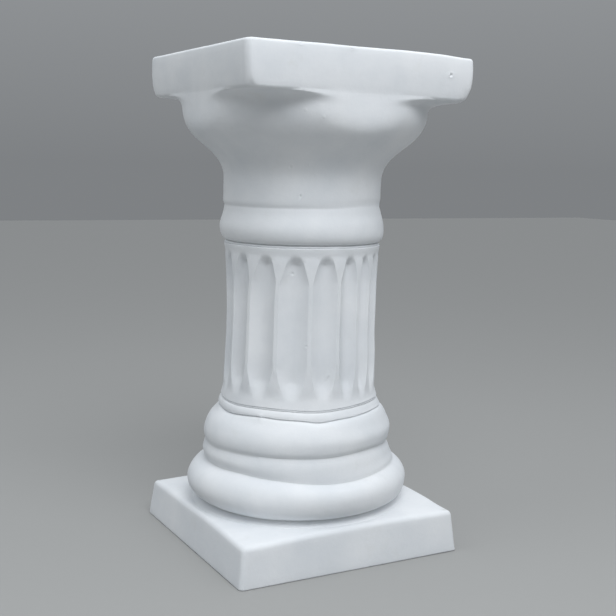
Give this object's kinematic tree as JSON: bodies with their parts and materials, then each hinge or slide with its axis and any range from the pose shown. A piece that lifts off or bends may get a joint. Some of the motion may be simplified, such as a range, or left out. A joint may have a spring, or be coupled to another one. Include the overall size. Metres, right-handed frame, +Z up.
{
  "type": "concrete pedestal",
  "caption": "Short fluted concrete pedestal cast in one piece, with a moulded round base on a square plinth and a bell capital under a square cap plate.",
  "frame": {"origin": "centre of the plinth's square underside", "axes": "+Z up, the column's axis; X and Y are square to the sides of the plinth and the cap plate"},
  "size_m": [0.294, 0.294, 0.6],
  "materials": {
    "concrete": "matte"
  },
  "bodies": {
    "root": {"pedestal": "concrete"}
  },
  "joints": []
}
